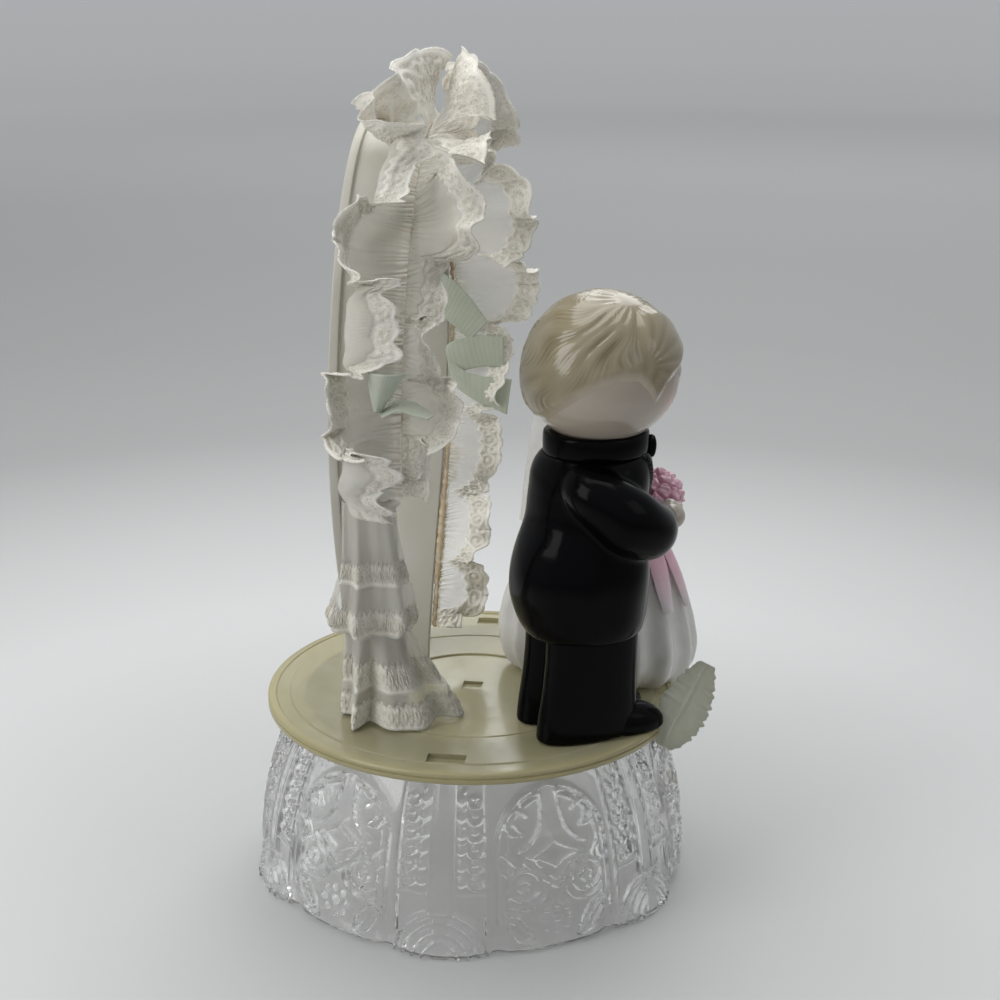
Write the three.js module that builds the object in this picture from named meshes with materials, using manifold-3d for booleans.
// Wedding cake topper: a clear moulded pedestal, a round plate, an arch dressed with gathered lace
// and a glazed bridal couple. Millimetres, +Z up. The couple faces -Y, the groom stands on the -X side,
// and the origin is on the pedestal's axis at the surface that it stands on.
import * as THREE from 'three';
import { mergeVertices } from 'three/addons/utils/BufferGeometryUtils.js';
import Module from 'manifold-3d';

const wasm = await Module();
wasm.setup();

// Clearances
const SEAT_GAP = 0.3;

// Pedestal: a hollow bell of six moulded panels with a rib between each two
const PANELS = 6;
const SKIRT_HEIGHT = 47.2;
const FOOT_RADIUS = 58.8;
const NECK_RADIUS = 47;
const SKIRT_BELLY = 2.45;
const SKIRT_WALL = 2.4;
const RIB_PROUD = 0.9;
const RIB_HALF_ANGLE = 4;
const RIB_FOOT_PROUD = 2.2;
const RIB_FOOT_HALF_ANGLE = 9;
const RIB_FOOT_HEIGHT = 13;
const PANEL_ARCH_HALF_WIDTH = 14;
const PANEL_ARCH_FOOT = 8.5;
const PANEL_ARCH_SPRING = 28;
const PANEL_ARCH_RISE = 13.5;
const PANEL_BORDER_OFFSET = 21.5;
const PANEL_BORDER_FOOT = 16;
const PANEL_BORDER_TOP = 44.5;
const PANEL_SCROLL_OFFSET = 8.3;
const PANEL_SCROLL_UP = 18.7;
const PANEL_SCROLL_RADIUS = 4.4;
const PANEL_STAR_UP = 26;
const PANEL_STAR_WIDTH = 14;
const PANEL_STAR_HEIGHT = 8;
const PANEL_DAISY_UP = 9;
const PANEL_DAISY_RADIUS = 4.6;
const MOULDING_WIDTH = 2;
const BORDER_WIDTH = 7;
const MOULDING_PROUD = 0.8;
const MOULDING_SINK = 0.9;
const LEDGE_THICKNESS = 2.6;
const LEDGE_BORE_RADIUS = 36;

// Plate
const PLATE_RADIUS = 57;
const PLATE_THICKNESS = 3.2;
const RIM_EDGE_ROUND = 1;
const STEP_RADIUS = 22;
const STEP_HEIGHT = 0.5;
const SPIGOT_RADIUS = LEDGE_BORE_RADIUS - SEAT_GAP;
const SPIGOT_WALL = 2;
const SPIGOT_DEPTH = 4;
const RECESS_DEPTH = 1.4;
const RIM_RECESS_OFFSET = 48;
const RIM_RECESS_WIDTH = 5;
const RIM_RECESS_LENGTH = 10;
const CENTRE_RECESS_WIDTH = 5.5;

// Arch: a flat band on edge that narrows to two feet
const ARCH_FOOT_HALF_SPAN = 17;
const ARCH_HALF_WIDTH = 44;
const ARCH_WIDEST_AT = 88;
const ARCH_HEIGHT = 153.5;
const ARCH_BULGE = 0.85;
const BAND_THICKNESS = 2.5;
const BAND_DEPTH = 16;
const BAND_BEAD = 1;
const BAND_BEAD_WIDTH = 2.4;
const ARCH_BACK_SET = 23;
const ARCH_LEAN = 0.021;
const TAB_LENGTH = 10;
const TAB_THICKNESS = 2;
const TAB_DEPTH = 2.2;

// Lace: one long strip, gathered on a cord along the band's front edge
const CORD_DIAMETER = 1.4;
const LACE_THICKNESS = 0.8;
const FLOUNCE_SEGMENTS = 6;
const FLOUNCE_START = 0.2;
const FLOUNCE_END = 0.975;
const STEPS_ALONG = 13;
const OUTER_STEPS_ACROSS = 6;
const FRONT_STEPS_ACROSS = 4;
const PETAL_PINCH = 0.5;
const PETAL_SPREAD = 2.2;
const ROLL_FROM = 0.25;
const ROLL_TO = 0.78;

// Petals of the gathered strip: place along the arch, reach from the cord, then in degrees the side
// that the petal turns to, how far it rolls over and how far it fans out
const FRONT_PETALS = [
  { along: 0.2, reach: 7, turn: 8, roll: 20, fan: 16 },
  { along: 0.228, reach: 7, turn: 6, roll: -20, fan: 16 },
  { along: 0.264, reach: 16, turn: 12, roll: 25, fan: 26 },
  { along: 0.305, reach: 12, turn: 24, roll: 40, fan: 22 },
  { along: 0.345, reach: 10, turn: -10, roll: -30, fan: 20 },
  { along: 0.392, reach: 22, turn: 20, roll: 45, fan: 28 },
  { along: 0.446, reach: 17, turn: 25, roll: -20, fan: 28 },
  { along: 0.495, reach: 20, turn: 52, roll: 10, fan: 30 },
  { along: 0.545, reach: 20, turn: 48, roll: -10, fan: 30 },
  { along: 0.592, reach: 21, turn: 30, roll: 30, fan: 28 },
  { along: 0.635, reach: 23, turn: 3, roll: -20, fan: 20 },
  { along: 0.7, reach: 24, turn: 4, roll: 20, fan: 22 },
  { along: 0.767, reach: 17, turn: -4, roll: -25, fan: 25 },
  { along: 0.832, reach: 15, turn: 4, roll: 30, fan: 25 },
  { along: 0.897, reach: 12.5, turn: -4, roll: -25, fan: 25 },
  { along: 0.948, reach: 12.5, turn: 4, roll: 20, fan: 20 },
  { along: 0.975, reach: 7, turn: 4, roll: 20, fan: 12 },
];
const OUTER_PETALS = [
  { along: 0.2, reach: 22, turn: 14, roll: 120, fan: 8 },
  { along: 0.226, reach: 35, turn: 8, roll: 160, fan: 6 },
  { along: 0.266, reach: 19, turn: 12, roll: 30, fan: 8 },
  { along: 0.318, reach: 34, turn: 6, roll: 172, fan: 6 },
  { along: 0.368, reach: 26, turn: 8, roll: 110, fan: 8 },
  { along: 0.42, reach: 24, turn: 20, roll: 170, fan: 14 },
  { along: 0.47, reach: 23, turn: 70, roll: 8, fan: 34 },
  { along: 0.525, reach: 20, turn: 64, roll: -8, fan: 30 },
  { along: 0.575, reach: 20, turn: 52, roll: -8, fan: 26 },
  { along: 0.625, reach: 24, turn: 20, roll: 100, fan: 10 },
  { along: 0.68, reach: 18, turn: 14, roll: 30, fan: 10 },
  { along: 0.735, reach: 30, turn: 8, roll: 150, fan: 6 },
  { along: 0.79, reach: 18, turn: 14, roll: 30, fan: 10 },
  { along: 0.845, reach: 30, turn: 8, roll: 150, fan: 6 },
  { along: 0.905, reach: 18, turn: 14, roll: 40, fan: 10 },
  { along: 0.975, reach: 17, turn: 18, roll: 40, fan: 10 },
];
const TAIL_HEIGHT = 58;
const TAIL_SPREAD_OUT = 13;
const TAIL_SPREAD_FRONT = 12;
const TAIL_SPREAD_BACK = 5;
const TAIL_FROM_ANGLE = 90;
const TAIL_TO_ANGLE = 276;
const TAIL_PLEATS = 6;
const TAIL_STEPS_AROUND = 30;
const TAIL_STEPS_DOWN = 4;
const TAIL_PLEAT_DEPTH = 1.4;
const RIBBON_THICKNESS = 0.7;
const RIBBON_CLEARANCE = 0.7;

// Front leaf: a cloth leaf glued to the plate's rim
const FRONT_LEAF_LENGTH = 25;
const FRONT_LEAF_WIDTH = 9;
const FRONT_LEAF_DROP = 6;
const FRONT_LEAF_LEAN = 2;
const FRONT_LEAF_THICKNESS = 0.8;
const FRONT_LEAF_ANGLE = 250.5;
const FRONT_LEAF_SWEEP = 3;
const FRONT_LEAF_TILT = 32;

// Groom, in heights above the plate
const GROOM_X = -22.9;
const GROOM_FROM_RIM = 25.9;
const GROOM_Y = GROOM_FROM_RIM - PLATE_RADIUS;
const GROOM_YAW = 29;
const LEG_SPREAD = 6.7;
const LEG_WIDTH = 12.6;
const LEG_DEPTH = 28;
const SHOE_LENGTH = 20;
const SHOE_WIDTH = 12;
const SHOE_HEIGHT = 15;
const SHOE_REACH = 12;
const COAT_HEM = 27.6;
const COAT_TOP = 75;
const COAT_WIDTH = 34;
const COAT_DEPTH = 35;
const COLLAR_HEIGHT = 6;
const COLLAR_WIDTH = 25.5;
const COLLAR_DEPTH = 27.5;
const COLLAR_FORWARD = 4;
const GROOM_HEAD_HEIGHT = 38.5;
const GROOM_HEAD_WIDTH = 37;
const GROOM_HEAD_DEPTH = 39;
const GROOM_HEAD_SINK = 4;
const GROOM_HEAD_FORWARD = 5;
const GROOM_HAIR_PROUD = 0.6;
const SHOULDER_DROP = 8;
const RIGHT_ELBOW_DROP = 11;
const LEFT_ELBOW_DROP = 14;
const SLEEVE_RADIUS = 6.6;
const CUFF_RADIUS = 5.4;
const ELBOW_OUT = 3;
const CUFF_REACH = 5;
const CUFF_INSET = 4;
const HAND_RADIUS = 4.4;
const HAND_REACH = 2;
const HAND_INWARD = 1.5;
const SHIRT_HEIGHT = 16;
const SHIRT_HALF_WIDTH = 6;
const SHIRT_THICKNESS = 0.8;
const BOW_WIDTH = 15;
const BOW_HEIGHT = 7;
const BOW_THICKNESS = 2.6;
const BOW_KNOT = 1.6;
const BOW_PROUD = 1.2;
const BOW_DROP = 1.4;

// Bride, in heights above the plate
const BRIDE_X = 16.5;
const BRIDE_FROM_RIM = 23.7;
const BRIDE_Y = BRIDE_FROM_RIM - PLATE_RADIUS;
const BRIDE_YAW = -15;
const GOWN_HEIGHT = 52;
const GOWN_DEPTH = 56;
const GOWN_WIDTH = 40;
const GOWN_FOLDS = 16;
const GOWN_FOLD_DEPTH = 0.7;
const BODICE_HEIGHT = 17;
const BODICE_WIDTH = 23;
const BODICE_DEPTH = 19;
const BRIDE_HEAD_HEIGHT = 36;
const BRIDE_HEAD_WIDTH = 34;
const BRIDE_HEAD_DEPTH = 35;
const BRIDE_HEAD_FORWARD = 2;
const BRIDE_HAIR_PROUD = 0.6;
const PUFF_RADIUS = 6.3;
const PUFF_OUT = 1;
const PUFF_DROP = 6;
const ARM_RADIUS = 3.1;
const BOUQUET_RADIUS = 8;
const BOUQUET_SIDE = -1;
const BOUQUET_REACH = 19.8;
const BOUQUET_HEIGHT = 54;
const VEIL_THICKNESS = 1.2;
const VEIL_LENGTH = 62;
const VEIL_HALF_ANGLE = 78;
const VEIL_GAP = 0.9;
const VEIL_FLARE = 0.14;
const VEIL_START = 0.36;
const STREAMER_WIDTH = 5;
const STREAMER_LENGTH = 24;
const STREAMER_THICKNESS = 0.8;
const RIGHT_STREAMER_TURN = -26;
const LEFT_STREAMER_TURN = -4;

// Heights that follow from the sizes above
const PLATE_TOP = SKIRT_HEIGHT + PLATE_THICKNESS;
const GLUE_TOP = PLATE_TOP + SEAT_GAP;
const COLLAR_TOP = COAT_TOP + COLLAR_HEIGHT;

const lerp = THREE.MathUtils.lerp;
const radians = THREE.MathUtils.degToRad;
const smoothstep = THREE.MathUtils.smoothstep;
const vec = (x, y, z) => new THREE.Vector3(x, y, z);

const topper = new THREE.Group();

const finishes = {
  clearPlastic: { color: 0xd9dbdb, roughness: 0.12, metalness: 0 },
  agedPlastic: { color: 0xccc49e, roughness: 0.25, metalness: 0 },
  ivoryPlastic: { color: 0xb8b5a3, roughness: 0.4, metalness: 0 },
  lace: { color: 0xd1c9b8, roughness: 0.9, metalness: 0 },
  gatherCord: { color: 0x9e8054, roughness: 0.85, metalness: 0 },
  greenRibbon: { color: 0x8c9980, roughness: 0.6, metalness: 0 },
  leafCloth: { color: 0xb5b79c, roughness: 0.9, metalness: 0 },
  blackGlaze: { color: 0x08080a, roughness: 0.12, metalness: 0 },
  whiteGlaze: { color: 0xc4c2bf, roughness: 0.2, metalness: 0 },
  skinGlaze: { color: 0xd6c2b0, roughness: 0.2, metalness: 0 },
  blondGlaze: { color: 0x9e8a5c, roughness: 0.2, metalness: 0 },
  brownGlaze: { color: 0x6a4a2c, roughness: 0.2, metalness: 0 },
  pinkGlaze: { color: 0xb86b85, roughness: 0.25, metalness: 0 },
};

function addPiece(group, name, geometry, finish) {
  const mesh = new THREE.Mesh(geometry, new THREE.MeshStandardMaterial(finishes[finish]));
  mesh.name = name;
  group.add(mesh);
  return mesh;
}

// Geometry from shared points and the triangles between them
function fromPoints(points, triangles) {
  const geometry = new THREE.BufferGeometry();
  const flat = points.flatMap((p) => [p.x, p.y, p.z]);
  geometry.setAttribute('position', new THREE.Float32BufferAttribute(flat, 3));
  geometry.setIndex(triangles.flat());
  return geometry;
}

// Solid skin over rings with equal point counts, from the bottom up, each ring counter-clockwise
// seen from above. A loop of rings closes on itself; otherwise the end rings get flat caps.
function loft(rings, looped = false) {
  const sides = rings[0].length;
  const points = rings.flat();
  const triangles = [];
  const bands = looped ? rings.length : rings.length - 1;
  for (let k = 0; k < bands; k += 1) {
    const low = k * sides;
    const high = ((k + 1) % rings.length) * sides;
    for (let i = 0; i < sides; i += 1) {
      const next = (i + 1) % sides;
      triangles.push([low + i, low + next, high + next], [low + i, high + next, high + i]);
    }
  }
  if (!looped) {
    const top = (rings.length - 1) * sides;
    for (let i = 1; i < sides - 1; i += 1) {
      triangles.push([0, i + 1, i], [top, top + i, top + i + 1]);
    }
  }
  return fromPoints(points, triangles);
}

// Thin closed solid about a surface whose points at(a, b) run over 0 to 1 both ways
function sheet(at, stepsA, stepsB, thickness) {
  const points = [];
  const triangles = [];
  const columns = stepsB + 1;
  const perSide = (stepsA + 1) * columns;
  for (const side of [0.5, -0.5]) {
    for (let i = 0; i <= stepsA; i += 1) {
      for (let j = 0; j <= stepsB; j += 1) {
        const lift = side * thickness;
        points.push(lifted(at, i / stepsA, j / stepsB, lift));
      }
    }
  }
  const index = (side, i, j) => side * perSide + i * columns + j;
  const quad = (p, q, r, s) => triangles.push([p, q, r], [p, r, s]);
  for (let i = 0; i < stepsA; i += 1) {
    for (let j = 0; j < stepsB; j += 1) {
      quad(index(0, i, j), index(0, i + 1, j), index(0, i + 1, j + 1), index(0, i, j + 1));
      quad(index(1, i, j), index(1, i, j + 1), index(1, i + 1, j + 1), index(1, i + 1, j));
    }
  }
  for (let i = 0; i < stepsA; i += 1) {
    quad(index(0, i, 0), index(1, i, 0), index(1, i + 1, 0), index(0, i + 1, 0));
    quad(index(0, i + 1, stepsB), index(1, i + 1, stepsB), index(1, i, stepsB), index(0, i, stepsB));
  }
  for (let j = 0; j < stepsB; j += 1) {
    quad(index(0, 0, j + 1), index(1, 0, j + 1), index(1, 0, j), index(0, 0, j));
    quad(index(0, stepsA, j), index(1, stepsA, j), index(1, stepsA, j + 1), index(0, stepsA, j + 1));
  }
  return fromPoints(points, triangles);
}

// Point of a surface moved along its normal
function lifted(at, a, b, lift) {
  const step = 0.002;
  const alongA = at(a + step, b).sub(at(a - step, b));
  const alongB = at(a, b + step).sub(at(a, b - step));
  const normal = alongA.cross(alongB).normalize();
  return at(a, b).addScaledVector(normal, lift);
}

// Level oval ring about a centre
function ovalRing(x, y, z, halfWidth, halfDepth, sides) {
  return Array.from({ length: sides }, (_, i) => {
    const angle = (2 * Math.PI * i) / sides;
    return vec(x + halfWidth * Math.cos(angle), y + halfDepth * Math.sin(angle), z);
  });
}

// Round-section tube through points, with a radius at each end
function limb(points, startRadius, endRadius, sides = 10, steps = 8) {
  const curve = new THREE.CatmullRomCurve3(points);
  const frames = curve.computeFrenetFrames(steps, false);
  const rings = [];
  for (let k = 0; k <= steps; k += 1) {
    const centre = curve.getPointAt(k / steps);
    const radius = lerp(startRadius, endRadius, k / steps);
    rings.push(Array.from({ length: sides }, (_, i) => {
      const angle = (2 * Math.PI * i) / sides;
      return centre.clone()
        .addScaledVector(frames.normals[k], radius * Math.cos(angle))
        .addScaledVector(frames.binormals[k], radius * Math.sin(angle));
    }));
  }
  return loft(rings);
}

// Oval ball
function ball(x, y, z, width, depth, height, sides = 18, rows = 10) {
  const geometry = new THREE.SphereGeometry(0.5, sides, rows);
  geometry.rotateX(Math.PI / 2);
  geometry.scale(width, depth, height);
  geometry.translate(x, y, z);
  return geometry;
}

function box(x, y, z, width, depth, height) {
  const geometry = new THREE.BoxGeometry(width, depth, height);
  geometry.translate(x, y, z);
  return geometry;
}

// Joins and cuts between closed solids
function toSolid(geometry) {
  const bare = geometry.clone();
  bare.deleteAttribute('normal');
  bare.deleteAttribute('uv');
  const merged = mergeVertices(bare);
  return new wasm.Manifold(new wasm.Mesh({
    numProp: 3,
    vertProperties: new Float32Array(merged.attributes.position.array),
    triVerts: new Uint32Array(merged.index.array),
  }));
}

function toGeometry(solid) {
  const mesh = solid.getMesh();
  const geometry = new THREE.BufferGeometry();
  geometry.setAttribute('position', new THREE.BufferAttribute(new Float32Array(mesh.vertProperties), 3));
  geometry.setIndex(new THREE.BufferAttribute(new Uint32Array(mesh.triVerts), 1));
  return geometry;
}

function cutFrom(geometry, ...cutters) {
  return toGeometry(cutters.reduce((solid, cutter) => solid.subtract(toSolid(cutter)), toSolid(geometry)));
}

function joined(geometry, ...others) {
  return toGeometry(others.reduce((solid, other) => solid.add(toSolid(other)), toSolid(geometry)));
}

function common(geometry, other) {
  return toGeometry(toSolid(geometry).intersect(toSolid(other)));
}

// Pedestal

// How far an angle lies from the nearest rib, in degrees
function fromRib(angle) {
  const spacing = 360 / PANELS;
  const turn = ((THREE.MathUtils.radToDeg(angle) % spacing) + spacing) % spacing;
  return Math.min(turn, spacing - turn);
}

function skirtRadius(angle, z) {
  const share = z / SKIRT_HEIGHT;
  const bell = NECK_RADIUS + (FOOT_RADIUS - NECK_RADIUS) * (1 - share ** SKIRT_BELLY);
  const rib = RIB_PROUD * (1 - smoothstep(fromRib(angle), 0, RIB_HALF_ANGLE));
  const foot = 1 - smoothstep(fromRib(angle), RIB_FOOT_HALF_ANGLE / 2, RIB_FOOT_HALF_ANGLE * 1.5);
  return bell + rib + RIB_FOOT_PROUD * foot * (1 - smoothstep(z, 0, RIB_FOOT_HEIGHT));
}

function pedestalGeometry() {
  const aroundSteps = PANELS * 12;
  const outerHeights = [0, 0.08, 0.2, 0.4, 0.6, 0.8, 1].map((share) => share * SKIRT_HEIGHT);
  const innerTop = SKIRT_HEIGHT - LEDGE_THICKNESS;
  const innerHeights = [1, 0.5, 0].map((share) => share * innerTop);
  const ring = (radiusAt, z) => Array.from({ length: aroundSteps }, (_, i) => {
    const angle = (2 * Math.PI * i) / aroundSteps;
    const radius = radiusAt(angle);
    return vec(radius * Math.cos(angle), radius * Math.sin(angle), z);
  });
  const rings = outerHeights.map((z) => ring((angle) => skirtRadius(angle, z), z));
  rings.push(ring(() => LEDGE_BORE_RADIUS, SKIRT_HEIGHT));
  rings.push(ring(() => LEDGE_BORE_RADIUS, innerTop));
  for (const z of innerHeights) {
    rings.push(ring((angle) => skirtRadius(angle, z) - SKIRT_WALL, z));
  }
  return loft(rings, true);
}

// Panel ornament: raised mouldings on the skirt's outer face. A place on a panel is given by its
// distance across from the panel's middle, measured at the foot, its height and how far it stands off.
function onPanel(panel, across, z, off) {
  const angle = radians((360 / PANELS) * (panel + 0.5)) + across / FOOT_RADIUS;
  const radius = skirtRadius(angle, z) + off;
  return vec(radius * Math.cos(angle), radius * Math.sin(angle), z);
}

// Moulding along a line of places on a panel
function moulding(panel, line, width) {
  const last = line.length - 1;
  const rings = line.map(([across, z], k) => {
    const ahead = line[Math.min(k + 1, last)];
    const behind = line[Math.max(k - 1, 0)];
    const heading = new THREE.Vector2(ahead[0] - behind[0], ahead[1] - behind[1]).normalize();
    const corner = (side, off) => onPanel(
      panel,
      across - (side * heading.y * width) / 2,
      z + (side * heading.x * width) / 2,
      off,
    );
    return [
      corner(-1, -MOULDING_SINK),
      corner(1, -MOULDING_SINK),
      corner(0.4, MOULDING_PROUD),
      corner(-0.4, MOULDING_PROUD),
    ];
  });
  return loft(rings);
}

// Raised boss with the given outline on a panel
function boss(panel, outline, middle) {
  const ring = (share, off) => outline.map(([across, z]) => onPanel(
    panel,
    lerp(middle[0], across, share),
    lerp(middle[1], z, share),
    off,
  ));
  return loft([ring(1, -MOULDING_SINK), ring(0.7, MOULDING_PROUD)]);
}

function panelOrnament(panel) {
  const arcPoints = (across, z, wide, tall, from, to, steps) => Array.from({ length: steps + 1 }, (_, k) => {
    const angle = radians(lerp(from, to, k / steps));
    return [across + wide * Math.cos(angle), z + tall * Math.sin(angle)];
  });
  const head = arcPoints(0, PANEL_ARCH_SPRING, PANEL_ARCH_HALF_WIDTH, PANEL_ARCH_RISE, 0, 180, 6);
  const archPath = [
    [PANEL_ARCH_HALF_WIDTH, PANEL_ARCH_FOOT],
    ...head,
    [-PANEL_ARCH_HALF_WIDTH, PANEL_ARCH_FOOT],
  ];
  const starPoints = arcPoints(0, PANEL_STAR_UP, 1, 1, 0, 315, 7).map(([across, z], k) => {
    const share = k % 2 === 0 ? 0.5 : 0.2;
    return [across * share * PANEL_STAR_WIDTH, PANEL_STAR_UP + (z - PANEL_STAR_UP) * share * PANEL_STAR_HEIGHT];
  });
  const daisy = arcPoints(0, PANEL_DAISY_UP, PANEL_DAISY_RADIUS, PANEL_DAISY_RADIUS, 0, 315, 7);
  const pieces = [
    moulding(panel, archPath, MOULDING_WIDTH),
    boss(panel, starPoints, [0, PANEL_STAR_UP]),
    boss(panel, daisy, [0, PANEL_DAISY_UP]),
  ];
  for (const side of [-1, 1]) {
    const border = [0, 1, 2, 3].map((k) => [
      side * PANEL_BORDER_OFFSET,
      lerp(PANEL_BORDER_FOOT, PANEL_BORDER_TOP, k / 3),
    ]);
    const middle = [side * PANEL_SCROLL_OFFSET, PANEL_SCROLL_UP];
    const scroll = arcPoints(...middle, PANEL_SCROLL_RADIUS, PANEL_SCROLL_RADIUS, 0, 300, 5);
    pieces.push(moulding(panel, border, BORDER_WIDTH), boss(panel, scroll, middle));
  }
  return pieces;
}

const ornament = Array.from({ length: PANELS }, (_, panel) => panelOrnament(panel)).flat();
addPiece(topper, 'pedestal_skirt', joined(pedestalGeometry(), ...ornament), 'clearPlastic');

// Plate

function plateGeometry() {
  const under = SKIRT_HEIGHT;
  const spigotEnd = under - SPIGOT_DEPTH;
  const profile = [
    [0, under],
    [SPIGOT_RADIUS - SPIGOT_WALL, under],
    [SPIGOT_RADIUS - SPIGOT_WALL, spigotEnd],
    [SPIGOT_RADIUS, spigotEnd],
    [SPIGOT_RADIUS, under],
    [PLATE_RADIUS - RIM_EDGE_ROUND, under],
    [PLATE_RADIUS, under + RIM_EDGE_ROUND],
    [PLATE_RADIUS, PLATE_TOP - RIM_EDGE_ROUND],
    [PLATE_RADIUS - RIM_EDGE_ROUND, PLATE_TOP],
    [STEP_RADIUS, PLATE_TOP],
    [STEP_RADIUS, PLATE_TOP - STEP_HEIGHT],
    [0, PLATE_TOP - STEP_HEIGHT],
  ].map(([radius, z]) => new THREE.Vector2(radius, z));
  const disc = new THREE.LatheGeometry(profile, 48);
  disc.rotateX(Math.PI / 2);
  const recess = (x, width, length, depth) => box(x, 0, PLATE_TOP, width, length, 2 * depth);
  const socket = (side) => box(
    side * ARCH_FOOT_HALF_SPAN,
    ARCH_BACK_SET,
    PLATE_TOP,
    TAB_THICKNESS + 2 * SEAT_GAP,
    TAB_LENGTH + 2 * SEAT_GAP,
    2 * (TAB_DEPTH + SEAT_GAP),
  );
  return cutFrom(
    disc,
    recess(0, CENTRE_RECESS_WIDTH, CENTRE_RECESS_WIDTH, RECESS_DEPTH),
    recess(-RIM_RECESS_OFFSET, RIM_RECESS_WIDTH, RIM_RECESS_LENGTH, RECESS_DEPTH),
    recess(RIM_RECESS_OFFSET, RIM_RECESS_WIDTH, RIM_RECESS_LENGTH, RECESS_DEPTH),
    socket(-1),
    socket(1),
  );
}

addPiece(topper, 'top_plate', plateGeometry(), 'agedPlastic');

// Arch

// Middle line of the band from the -X foot over the crown to the +X foot, in its own plane
class ArchLine extends THREE.Curve {
  getPoint(t, target = new THREE.Vector3()) {
    const side = t < 0.5 ? -1 : 1;
    const climb = 1 - Math.abs(2 * t - 1);
    const split = 0.5;
    if (climb < split) {
      const share = climb / split;
      const swing = 0.5 - 0.5 * Math.cos(Math.PI * share ** ARCH_BULGE);
      const x = lerp(ARCH_FOOT_HALF_SPAN, ARCH_HALF_WIDTH, swing);
      return target.set(side * x, 0, ARCH_WIDEST_AT * share);
    }
    const turn = (0.5 * Math.PI * (climb - split)) / (1 - split);
    const rise = ARCH_HEIGHT - ARCH_WIDEST_AT;
    return target.set(
      side * ARCH_HALF_WIDTH * Math.cos(turn),
      0,
      ARCH_WIDEST_AT + rise * Math.sin(turn),
    );
  }
}

const archLine = new ArchLine();
archLine.arcLengthDivisions = 400;

// Point beside the band: along its length, out from its middle line, and back from its middle plane
function besideArch(along, out, back) {
  const centre = archLine.getPointAt(THREE.MathUtils.clamp(along, 0, 1));
  const tangent = archLine.getTangentAt(THREE.MathUtils.clamp(along, 0.001, 0.999));
  const x = centre.x - tangent.z * out;
  const z = GLUE_TOP + centre.z + tangent.x * out;
  return vec(x, ARCH_BACK_SET + back - ARCH_LEAN * (z - GLUE_TOP), z);
}

const BAND_FRONT = -BAND_DEPTH / 2;
const BAND_BACK = BAND_DEPTH / 2;
const BAND_FACE = BAND_THICKNESS / 2;

function archGeometry() {
  const steps = 48;
  const section = [
    [BAND_FACE, BAND_BACK - BAND_BEAD_WIDTH],
    [BAND_FACE, BAND_FRONT],
    [-BAND_FACE, BAND_FRONT],
    [-BAND_FACE, BAND_BACK],
    [BAND_FACE + BAND_BEAD, BAND_BACK],
    [BAND_FACE + BAND_BEAD, BAND_BACK - BAND_BEAD_WIDTH],
  ];
  const rings = [];
  for (let k = 0; k <= steps; k += 1) {
    rings.push(section.map(([out, back]) => {
      const point = besideArch(k / steps, out, back);
      const atFoot = k === 0 || k === steps;
      return atFoot ? point.setZ(GLUE_TOP) : point;
    }));
  }
  const overlap = 1;
  const tab = (side) => box(
    side * ARCH_FOOT_HALF_SPAN,
    ARCH_BACK_SET,
    PLATE_TOP - TAB_DEPTH / 2 + (SEAT_GAP + overlap) / 2,
    TAB_THICKNESS,
    TAB_LENGTH,
    TAB_DEPTH + SEAT_GAP + overlap,
  );
  return joined(loft(rings), tab(-1), tab(1));
}

addPiece(topper, 'arch_frame', archGeometry(), 'ivoryPlastic');

// Gather cord, stitched along the band's front edge
const CORD_BACK = BAND_FRONT - SEAT_GAP - CORD_DIAMETER / 2;

function cordGeometry() {
  const steps = 44;
  const sides = 5;
  const rings = [];
  for (let k = 0; k <= steps; k += 1) {
    const along = lerp(FLOUNCE_START, FLOUNCE_END, k / steps);
    rings.push(Array.from({ length: sides }, (_, i) => {
      const angle = (2 * Math.PI * i) / sides;
      const out = 0.5 * CORD_DIAMETER * Math.cos(angle);
      return besideArch(along, out, CORD_BACK - 0.5 * CORD_DIAMETER * Math.sin(angle));
    }));
  }
  return loft(rings);
}

addPiece(topper, 'gather_cord', cordGeometry(), 'gatherCord');

// Lace flounces

// The strip's run away from the cord, between the two petals that a place along the arch lies between:
// straight at first, then rolled over, then straight again. Petals fan to either side in turn.
function petalRun(petals, along, across) {
  const last = petals.length - 1;
  const next = THREE.MathUtils.clamp(petals.findIndex((petal) => petal.along >= along), 1, last);
  const [from, to] = [petals[next - 1], petals[next]];
  const share = THREE.MathUtils.clamp((along - from.along) / (to.along - from.along), 0, 1);
  const blend = (key) => lerp(from[key], to[key], smoothstep(share, 0, 1));
  const fullness = 1 - (1 - Math.abs(2 * share - 1)) ** 2;
  const length = blend('reach') * lerp(PETAL_PINCH, 1, fullness);
  const side = next % 2 === 0 ? 1 : -1;
  const turn = radians(blend('turn') + side * blend('fan') * Math.sin(Math.PI * share));
  const rolled = THREE.MathUtils.clamp((across - ROLL_FROM) / (ROLL_TO - ROLL_FROM), 0, 1);
  const bend = radians(blend('roll')) * rolled;
  const arc = length * (ROLL_TO - ROLL_FROM) * rolled;
  const chord = Math.abs(bend) < 1e-6 ? arc : (arc * Math.sin(bend / 2)) / (bend / 2);
  const before = length * Math.min(across, ROLL_FROM);
  const after = length * Math.max(across - ROLL_TO, 0);
  return {
    place: along + (PETAL_SPREAD * across * Math.sin(2 * Math.PI * share)) / archLine.getLength(),
    ahead: before * Math.cos(turn) + chord * Math.cos(turn + bend / 2) + after * Math.cos(turn + bend),
    aside: before * Math.sin(turn) + chord * Math.sin(turn + bend / 2) + after * Math.sin(turn + bend),
  };
}

// Outer flounce: lies back over the band's outer face and rolls outward, and stands up at the crown
function outerFlounce(along, across) {
  const start = BAND_FACE + SEAT_GAP + LACE_THICKNESS / 2;
  const { place, ahead, aside } = petalRun(OUTER_PETALS, along, across);
  return besideArch(place, start + Math.max(aside, 0), BAND_FRONT + ahead);
}

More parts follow.
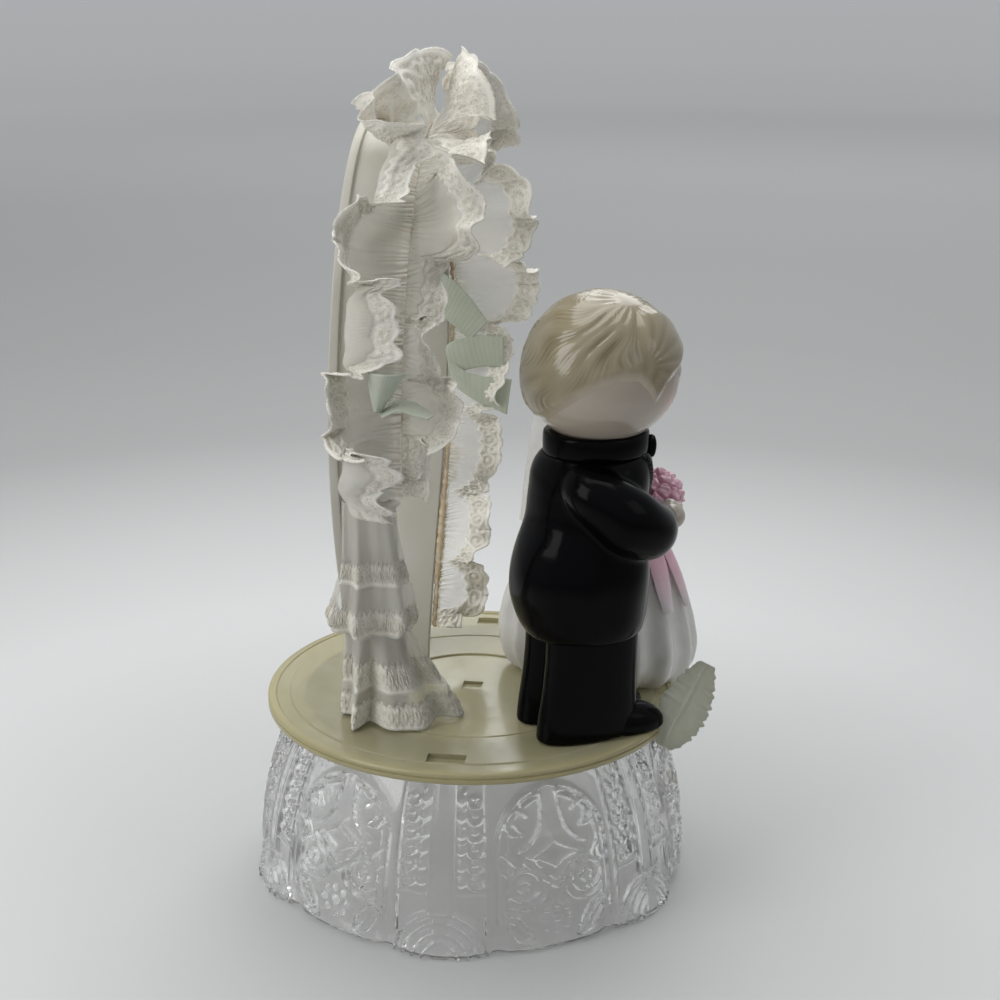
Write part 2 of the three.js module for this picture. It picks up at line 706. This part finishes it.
// Front flounce: spreads forward from the cord
function frontFlounce(along, across) {
  const start = CORD_BACK - CORD_DIAMETER / 2 - SEAT_GAP - LACE_THICKNESS / 2;
  const { place, ahead, aside } = petalRun(FRONT_PETALS, along, across);
  return besideArch(place, aside, start - ahead);
}

const segmentNames = ['near_low', 'near_high', 'crown_near', 'crown_far', 'far_high', 'far_low'];
const segmentSpan = (FLOUNCE_END - FLOUNCE_START) / FLOUNCE_SEGMENTS;
const segmentTrim = (SEAT_GAP * 0.5) / archLine.getLength();

function segmentSurface(flounce, index) {
  const from = FLOUNCE_START + index * segmentSpan + segmentTrim;
  const to = FLOUNCE_START + (index + 1) * segmentSpan - segmentTrim;
  return (a, b) => flounce(lerp(from, to, a), b);
}

segmentNames.forEach((name, index) => {
  const outer = sheet(segmentSurface(outerFlounce, index), STEPS_ALONG, OUTER_STEPS_ACROSS, LACE_THICKNESS);
  const front = sheet(segmentSurface(frontFlounce, index), STEPS_ALONG, FRONT_STEPS_ACROSS, LACE_THICKNESS);
  addPiece(topper, `lace_outer_${name}`, outer, 'lace');
  addPiece(topper, `lace_front_${name}`, front, 'lace');
});

// Lace tail: the strip's end, fanned out around the near foot down to the plate
function tailSurface(a, b) {
  const angle = radians(lerp(TAIL_FROM_ANGLE, TAIL_TO_ANGLE, a));
  const height = lerp(TAIL_HEIGHT, LACE_THICKNESS, b);
  const spread = 0.6 * b + 0.4 * b * b;
  const pleat = TAIL_PLEAT_DEPTH * spread * Math.sin(2 * Math.PI * TAIL_PLEATS * a);
  const legAt = archLine.getPoint((0.25 * height) / ARCH_WIDEST_AT);
  const clear = SEAT_GAP + LACE_THICKNESS / 2;
  const halfOut = 2 * (BAND_FACE + BAND_BEAD) + clear + TAIL_SPREAD_OUT * spread + pleat;
  const legHalf = BAND_DEPTH / 2 + CORD_DIAMETER + 2 * clear;
  const reach = lerp(TAIL_SPREAD_FRONT, TAIL_SPREAD_BACK, 0.5 + 0.5 * Math.sin(angle));
  const halfAlong = legHalf + reach * spread + pleat;
  const x = legAt.x + halfOut * Math.cos(angle);
  const y = ARCH_BACK_SET - ARCH_LEAN * height + halfAlong * Math.sin(angle);
  return vec(x, y, GLUE_TOP + height);
}

addPiece(topper, 'lace_tail', sheet(tailSurface, TAIL_STEPS_AROUND, TAIL_STEPS_DOWN, LACE_THICKNESS), 'lace');

// Ribbon leaves: satin ribbons that lie on the lace. Each covers a stretch along a flounce and
// across it, on the side that its sign gives.
const ribbonLeaves = [
  { name: 'ribbon_leaf_1', flounce: frontFlounce, along: [0.665, 0.69], across: [0.08, 1.05], side: -1 },
  { name: 'ribbon_leaf_2', flounce: frontFlounce, along: [0.735, 0.765], across: [0.1, 1.1], side: -1 },
  { name: 'ribbon_leaf_3', flounce: outerFlounce, along: [0.262, 0.29], across: [0.15, 0.7], side: 1 },
  { name: 'ribbon_leaf_4', flounce: frontFlounce, along: [0.256, 0.272], across: [0.05, 0.95], side: 1 },
];

for (const { name, flounce, along, across, side } of ribbonLeaves) {
  const lift = side * (LACE_THICKNESS / 2 + RIBBON_CLEARANCE + RIBBON_THICKNESS / 2);
  const under = (a, b) => flounce(lerp(along[0], along[1], a), lerp(across[0], across[1], b));
  const surface = (a, b) => lifted(under, a, b, lift);
  addPiece(topper, name, sheet(surface, 6, 5, RIBBON_THICKNESS), 'greenRibbon');
}

// Front leaf, glued to the plate's rim by the lower part of its inner edge and leaning out
const leafHalf = (b) => 0.5 * FRONT_LEAF_WIDTH * Math.sin(Math.PI * lerp(0.1, 0.93, b)) ** 0.7;

function frontLeafSurface(a, b) {
  const tilt = radians(FRONT_LEAF_TILT);
  const rise = FRONT_LEAF_LENGTH * Math.cos(tilt);
  const atRim = FRONT_LEAF_DROP / rise;
  const across = (2 * a - 1) * leafHalf(b);
  const seat = SEAT_GAP + leafHalf(atRim) * Math.cos(tilt);
  const radius = PLATE_RADIUS + seat + FRONT_LEAF_LEAN * (b - atRim) + across * Math.cos(tilt);
  const angle = radians(FRONT_LEAF_ANGLE) + (FRONT_LEAF_SWEEP * b) / PLATE_RADIUS;
  const z = PLATE_TOP - FRONT_LEAF_DROP + rise * b - across * Math.sin(tilt);
  return vec(radius * Math.cos(angle), radius * Math.sin(angle), z);
}

addPiece(topper, 'front_leaf', sheet(frontLeafSurface, 4, 8, FRONT_LEAF_THICKNESS), 'leafCloth');

// A stack of level ovals: shares of the height, width and depth, and the shift to the front
function figureLoft(base, height, width, depth, shape, sides = 20, grow = 0) {
  const rings = shape.map(([up, wide, deep, forward]) => {
    const end = up === 0 ? -grow : up === 1 ? grow : 0;
    const halfWidth = (wide * width) / 2 + grow;
    const halfDepth = (deep * depth) / 2 + grow;
    return ovalRing(0, -forward, base + up * height + end, halfWidth, halfDepth, sides);
  });
  return loft(rings);
}

// Groom

const groom = new THREE.Group();
groom.position.set(GROOM_X, GROOM_Y, GLUE_TOP);
groom.rotation.z = radians(GROOM_YAW);
topper.add(groom);

const legShape = [
  [0, 0.98, 0.98, 0],
  [0.04, 1, 1, 0],
  [0.5, 0.97, 0.92, 0.5],
  [1, 0.95, 0.9, 1],
];
const shoe = (side, grow) => ball(
  side * LEG_SPREAD,
  -SHOE_REACH,
  0,
  SHOE_WIDTH + 2 * grow,
  SHOE_LENGTH + 2 * grow,
  SHOE_HEIGHT + 2 * grow,
  16,
  10,
);
const groundDepth = SHOE_HEIGHT;
const ground = box(0, 0, -groundDepth / 2, 2 * PLATE_RADIUS, 2 * PLATE_RADIUS, groundDepth);

for (const [name, side] of [['right', -1], ['left', 1]]) {
  const leg = figureLoft(0, COAT_HEM - SEAT_GAP, LEG_WIDTH, LEG_DEPTH, legShape, 18);
  leg.translate(side * LEG_SPREAD, 0, 0);
  addPiece(groom, `groom_leg_${name}`, cutFrom(leg, shoe(side, SEAT_GAP)), 'blackGlaze');
  addPiece(groom, `groom_shoe_${name}`, cutFrom(shoe(side, 0), ground), 'blackGlaze');
}

const coatShape = [
  [0, 0.86, 0.86, 1.2],
  [0.06, 0.92, 0.9, 1],
  [0.3, 1, 1, 0],
  [0.5, 0.94, 0.92, 0.6],
  [0.72, 0.86, 0.8, 2.4],
  [0.88, 0.94, 0.83, 2.8],
  [0.96, 0.82, 0.8, 3],
  [1, 0.7, 0.76, 3.4],
];
const coat = (grow) => figureLoft(
  COAT_HEM,
  COAT_TOP - COAT_HEM,
  COAT_WIDTH,
  COAT_DEPTH,
  coatShape,
  22,
  grow,
);
addPiece(groom, 'groom_coat', coat(0), 'blackGlaze');

const collarShape = [
  [0, 0.96, 0.96, COLLAR_FORWARD],
  [0.4, 1, 1, COLLAR_FORWARD],
  [1, 0.98, 1, COLLAR_FORWARD],
];
const collarBase = COAT_TOP + SEAT_GAP;
const collar = (grow) => figureLoft(
  collarBase,
  COLLAR_TOP - collarBase,
  COLLAR_WIDTH,
  COLLAR_DEPTH,
  collarShape,
  22,
  grow,
);
const headSides = 18;
const headRows = 11;

// A head is a hair cap over a face: a ball in front of the head takes the face out of the hair.
// The ball's place and size are shares of the head's.
const faceWindow = { forward: 0.42, down: 0.3, width: 1.16, depth: 1.24, height: 0.98 };

function headParts(size) {
  const centre = size.base + size.height / 2;
  const form = (grow) => ball(
    0,
    -size.forward,
    centre,
    size.width + 2 * grow,
    size.depth + 2 * grow,
    size.height + 2 * grow,
    headSides,
    headRows,
  );
  const window = (grow) => ball(
    0,
    -size.forward - faceWindow.forward * size.depth,
    centre - faceWindow.down * size.height,
    size.width * faceWindow.width + 2 * grow,
    size.depth * faceWindow.depth + 2 * grow,
    size.height * faceWindow.height + 2 * grow,
    headSides,
    headRows,
  );
  return {
    form,
    face: common(form(0), window(0)),
    hair: cutFrom(form(size.hairProud), window(SEAT_GAP)),
  };
}

const groomHead = headParts({
  base: COLLAR_TOP - GROOM_HEAD_SINK,
  height: GROOM_HEAD_HEIGHT,
  width: GROOM_HEAD_WIDTH,
  depth: GROOM_HEAD_DEPTH,
  forward: GROOM_HEAD_FORWARD,
  hairProud: GROOM_HAIR_PROUD,
});
addPiece(groom, 'groom_face', groomHead.face, 'skinGlaze');
addPiece(groom, 'groom_hair', groomHead.hair, 'blondGlaze');
const collarCut = cutFrom(collar(0), groomHead.form(GROOM_HAIR_PROUD + SEAT_GAP));
addPiece(groom, 'groom_collar', collarCut, 'blackGlaze');

// Sleeves come forward from the shoulders and meet in front of the coat
const shoulderOut = COAT_WIDTH * 0.4;
const shoulderUp = COAT_TOP - SHOULDER_DROP;
const elbowForward = COAT_DEPTH * 0.5;
const rightSleevePath = [
  vec(-shoulderOut, 2, shoulderUp),
  vec(-shoulderOut - ELBOW_OUT, -elbowForward * 0.45, shoulderUp - RIGHT_ELBOW_DROP / 2),
  vec(-shoulderOut + 2, -elbowForward, shoulderUp - RIGHT_ELBOW_DROP),
  vec(-CUFF_INSET, -elbowForward - CUFF_REACH, shoulderUp - RIGHT_ELBOW_DROP),
];
const leftSleevePath = [
  vec(shoulderOut - 2, 2, shoulderUp),
  vec(shoulderOut - 1, -elbowForward * 0.35, shoulderUp - LEFT_ELBOW_DROP / 2),
  vec(shoulderOut - 4, -elbowForward * 0.8, shoulderUp - LEFT_ELBOW_DROP),
  vec(7, -elbowForward - 3, shoulderUp - LEFT_ELBOW_DROP - 2),
];
const sleeve = (path, grow) => limb(path, SLEEVE_RADIUS + grow, CUFF_RADIUS + grow, 12, 8);
const handAt = (path, grow) => {
  const end = path[path.length - 1];
  const size = 2 * (HAND_RADIUS + grow);
  const x = end.x - Math.sign(end.x) * HAND_INWARD;
  return ball(x, end.y - HAND_REACH, end.z, size, size, size, 12, 8);
};

for (const [name, path, other] of [
  ['right', rightSleevePath, leftSleevePath],
  ['left', leftSleevePath, rightSleevePath],
]) {
  const cloth = cutFrom(sleeve(path, 0), coat(SEAT_GAP), collar(SEAT_GAP));
  addPiece(groom, `groom_sleeve_${name}`, cloth, 'blackGlaze');
  const hand = cutFrom(
    handAt(path, 0),
    sleeve(path, SEAT_GAP),
    coat(SEAT_GAP),
    sleeve(other, SEAT_GAP),
  );
  addPiece(groom, `groom_hand_${name}`, hand, 'skinGlaze');
}

// Shirt front: the V between the lapels, as a thin skin on the coat's chest
function shirtGeometry() {
  const outline = new THREE.Shape();
  outline.moveTo(0, COAT_TOP - SHIRT_HEIGHT);
  outline.lineTo(SHIRT_HALF_WIDTH, COAT_TOP - 1);
  outline.lineTo(-SHIRT_HALF_WIDTH, COAT_TOP - 1);
  outline.closePath();
  const prism = new THREE.ExtrudeGeometry(outline, { depth: COAT_DEPTH, bevelEnabled: false });
  prism.rotateX(Math.PI / 2);
  return cutFrom(
    common(coat(SEAT_GAP + SHIRT_THICKNESS), prism),
    coat(SEAT_GAP),
    sleeve(rightSleevePath, SEAT_GAP),
    sleeve(leftSleevePath, SEAT_GAP),
    collar(SEAT_GAP),
  );
}

addPiece(groom, 'groom_shirt_front', shirtGeometry(), 'whiteGlaze');

// Bow tie in front of the collar
function bowGeometry() {
  const wing = BOW_WIDTH / 2;
  const tall = BOW_HEIGHT / 2;
  const outline = new THREE.Shape();
  outline.moveTo(-wing, -tall);
  outline.lineTo(-BOW_KNOT, -BOW_KNOT);
  outline.lineTo(BOW_KNOT, -BOW_KNOT);
  outline.lineTo(wing, -tall);
  outline.lineTo(wing, tall);
  outline.lineTo(BOW_KNOT, BOW_KNOT);
  outline.lineTo(-BOW_KNOT, BOW_KNOT);
  outline.lineTo(-wing, tall);
  outline.closePath();
  const bow = new THREE.ExtrudeGeometry(outline, { depth: BOW_THICKNESS, bevelEnabled: false });
  bow.rotateX(Math.PI / 2);
  const front = -COLLAR_DEPTH / 2 - COLLAR_FORWARD;
  const middle = (collarBase + COLLAR_TOP) / 2 - BOW_DROP;
  bow.translate(0, front + BOW_THICKNESS - BOW_PROUD, middle);
  return cutFrom(
    bow,
    collar(SEAT_GAP),
    coat(SEAT_GAP + SHIRT_THICKNESS + SEAT_GAP),
    groomHead.form(GROOM_HAIR_PROUD + SEAT_GAP),
  );
}

addPiece(groom, 'groom_bow_tie', bowGeometry(), 'blackGlaze');

// Bride

const bride = new THREE.Group();
bride.position.set(BRIDE_X, BRIDE_Y, GLUE_TOP);
bride.rotation.z = radians(BRIDE_YAW);
topper.add(bride);

const gownShape = [
  [0, 0.84],
  [0.05, 0.93],
  [0.16, 1],
  [0.3, 0.98],
  [0.5, 0.87],
  [0.7, 0.68],
  [0.86, 0.5],
  [1, 0.4],
];

function gownShare(up) {
  const next = gownShape.findIndex(([height]) => height >= up);
  if (next <= 0) {
    return gownShape[0][1];
  }
  const [lowUp, lowShare] = gownShape[next - 1];
  const [highUp, highShare] = gownShape[next];
  return lerp(lowShare, highShare, (up - lowUp) / (highUp - lowUp));
}

function gownGeometry() {
  const sides = GOWN_FOLDS * 2;
  const rings = gownShape.map(([up, share]) => Array.from({ length: sides }, (_, i) => {
    const angle = (2 * Math.PI * i) / sides;
    const fold = GOWN_FOLD_DEPTH * (1 - up) * Math.cos(GOWN_FOLDS * angle);
    const x = ((share * GOWN_WIDTH) / 2 + fold) * Math.cos(angle);
    return vec(x, ((share * GOWN_DEPTH) / 2 + fold) * Math.sin(angle), up * GOWN_HEIGHT);
  }));
  return loft(rings);
}

addPiece(bride, 'bride_gown', gownGeometry(), 'whiteGlaze');

const bodiceShape = [
  [0, 0.68, 0.78, 0],
  [0.25, 0.72, 0.84, 0.4],
  [0.65, 0.92, 1, 0.8],
  [0.88, 0.86, 0.86, 0.6],
  [1, 0.5, 0.6, 0.6],
];
const bodiceBase = GOWN_HEIGHT + SEAT_GAP;
const bodiceTop = bodiceBase + BODICE_HEIGHT;
const bodice = (grow) => figureLoft(
  bodiceBase,
  BODICE_HEIGHT,
  BODICE_WIDTH,
  BODICE_DEPTH,
  bodiceShape,
  18,
  grow,
);
addPiece(bride, 'bride_bodice', bodice(0), 'whiteGlaze');

const brideHead = headParts({
  base: bodiceTop + SEAT_GAP + BRIDE_HAIR_PROUD,
  height: BRIDE_HEAD_HEIGHT,
  width: BRIDE_HEAD_WIDTH,
  depth: BRIDE_HEAD_DEPTH,
  forward: BRIDE_HEAD_FORWARD,
  hairProud: BRIDE_HAIR_PROUD,
});
addPiece(bride, 'bride_face', brideHead.face, 'skinGlaze');
addPiece(bride, 'bride_hair', brideHead.hair, 'brownGlaze');

// Puffed sleeves and forearms that hold the bouquet
const puffOut = BODICE_WIDTH / 2 + PUFF_OUT;
const puffUp = bodiceTop - PUFF_DROP;
const puff = (side, grow) => {
  const size = 2 * (PUFF_RADIUS + grow);
  return ball(side * puffOut, 0, puffUp, size, size * 1.05, size * 1.1, 14, 8);
};
const bouquet = (grow) => {
  const size = 2 * (BOUQUET_RADIUS + grow);
  return ball(BOUQUET_SIDE, -BOUQUET_REACH, BOUQUET_HEIGHT, size, size, size, 16, 10);
};
const forearm = (side, grow) => limb(
  [
    vec(side * puffOut, -1, puffUp - 3),
    vec(side * (puffOut - 0.5), -8, puffUp - 8),
    vec(side * 4, -BOUQUET_REACH + 6, BOUQUET_HEIGHT - 3),
  ],
  ARM_RADIUS + grow,
  ARM_RADIUS * 0.9 + grow,
  10,
  6,
);

for (const [name, side] of [['right', -1], ['left', 1]]) {
  const headClear = brideHead.form(BRIDE_HAIR_PROUD + SEAT_GAP);
  const sleevePuff = cutFrom(puff(side, 0), bodice(SEAT_GAP), headClear);
  addPiece(bride, `bride_sleeve_${name}`, sleevePuff, 'whiteGlaze');
  const arm = cutFrom(
    forearm(side, 0),
    puff(side, SEAT_GAP),
    bodice(SEAT_GAP),
    bouquet(SEAT_GAP),
  );
  addPiece(bride, `bride_arm_${name}`, arm, 'skinGlaze');
}

addPiece(bride, 'bouquet', bouquet(0), 'pinkGlaze');

// Streamers hang from the bouquet and lie on the gown's front
function streamerGeometry(turn, length) {
  const top = BOUQUET_HEIGHT - BOUQUET_RADIUS * 0.8;
  const surface = (a, b) => {
    const z = top - length * b;
    const up = z / GOWN_HEIGHT;
    const clear = GOWN_FOLD_DEPTH + SEAT_GAP + STREAMER_THICKNESS / 2;
    const halfWidth = (gownShare(up) * GOWN_WIDTH) / 2 + clear;
    const halfDepth = Math.max((gownShare(up) * GOWN_DEPTH) / 2 + clear, BOUQUET_REACH - 4);
    const middle = radians(-90 + turn);
    const spread = (STREAMER_WIDTH * (a - 0.5)) / halfDepth;
    return vec(halfWidth * Math.cos(middle + spread), halfDepth * Math.sin(middle + spread), z);
  };
  return cutFrom(sheet(surface, 3, 8, STREAMER_THICKNESS), bouquet(SEAT_GAP));
}

addPiece(bride, 'streamer_right', streamerGeometry(RIGHT_STREAMER_TURN, STREAMER_LENGTH), 'pinkGlaze');
const shortStreamer = 0.8 * STREAMER_LENGTH;
addPiece(bride, 'streamer_left', streamerGeometry(LEFT_STREAMER_TURN, shortStreamer), 'pinkGlaze');

// Veil: a glazed fall that follows the head from its crown, then hangs down the back
function veilGeometry() {
  const headMiddle = bodiceTop + SEAT_GAP + BRIDE_HAIR_PROUD + BRIDE_HEAD_HEIGHT / 2;
  const off = BRIDE_HAIR_PROUD + VEIL_GAP + VEIL_THICKNESS / 2;
  const hang = VEIL_LENGTH - BRIDE_HEAD_HEIGHT / 2;
  const surface = (a, b) => {
    const angle = radians(90 + lerp(-VEIL_HALF_ANGLE, VEIL_HALF_ANGLE, a));
    const travel = lerp(VEIL_START, 2, b);
    const tilt = Math.min(travel, 1) * 0.5 * Math.PI;
    const fall = Math.max(0, travel - 1);
    const reach = Math.sin(tilt) * (1 + VEIL_FLARE * fall);
    const halfWidth = (BRIDE_HEAD_WIDTH / 2 + off) * reach;
    const halfDepth = (BRIDE_HEAD_DEPTH / 2 + off) * reach;
    const z = headMiddle + (BRIDE_HEAD_HEIGHT / 2 + off) * Math.cos(tilt) - hang * fall;
    return vec(halfWidth * Math.cos(angle), halfDepth * Math.sin(angle) - BRIDE_HEAD_FORWARD, z);
  };
  return sheet(surface, 10, 7, VEIL_THICKNESS);
}

addPiece(bride, 'bride_veil', veilGeometry(), 'whiteGlaze');

export default topper;
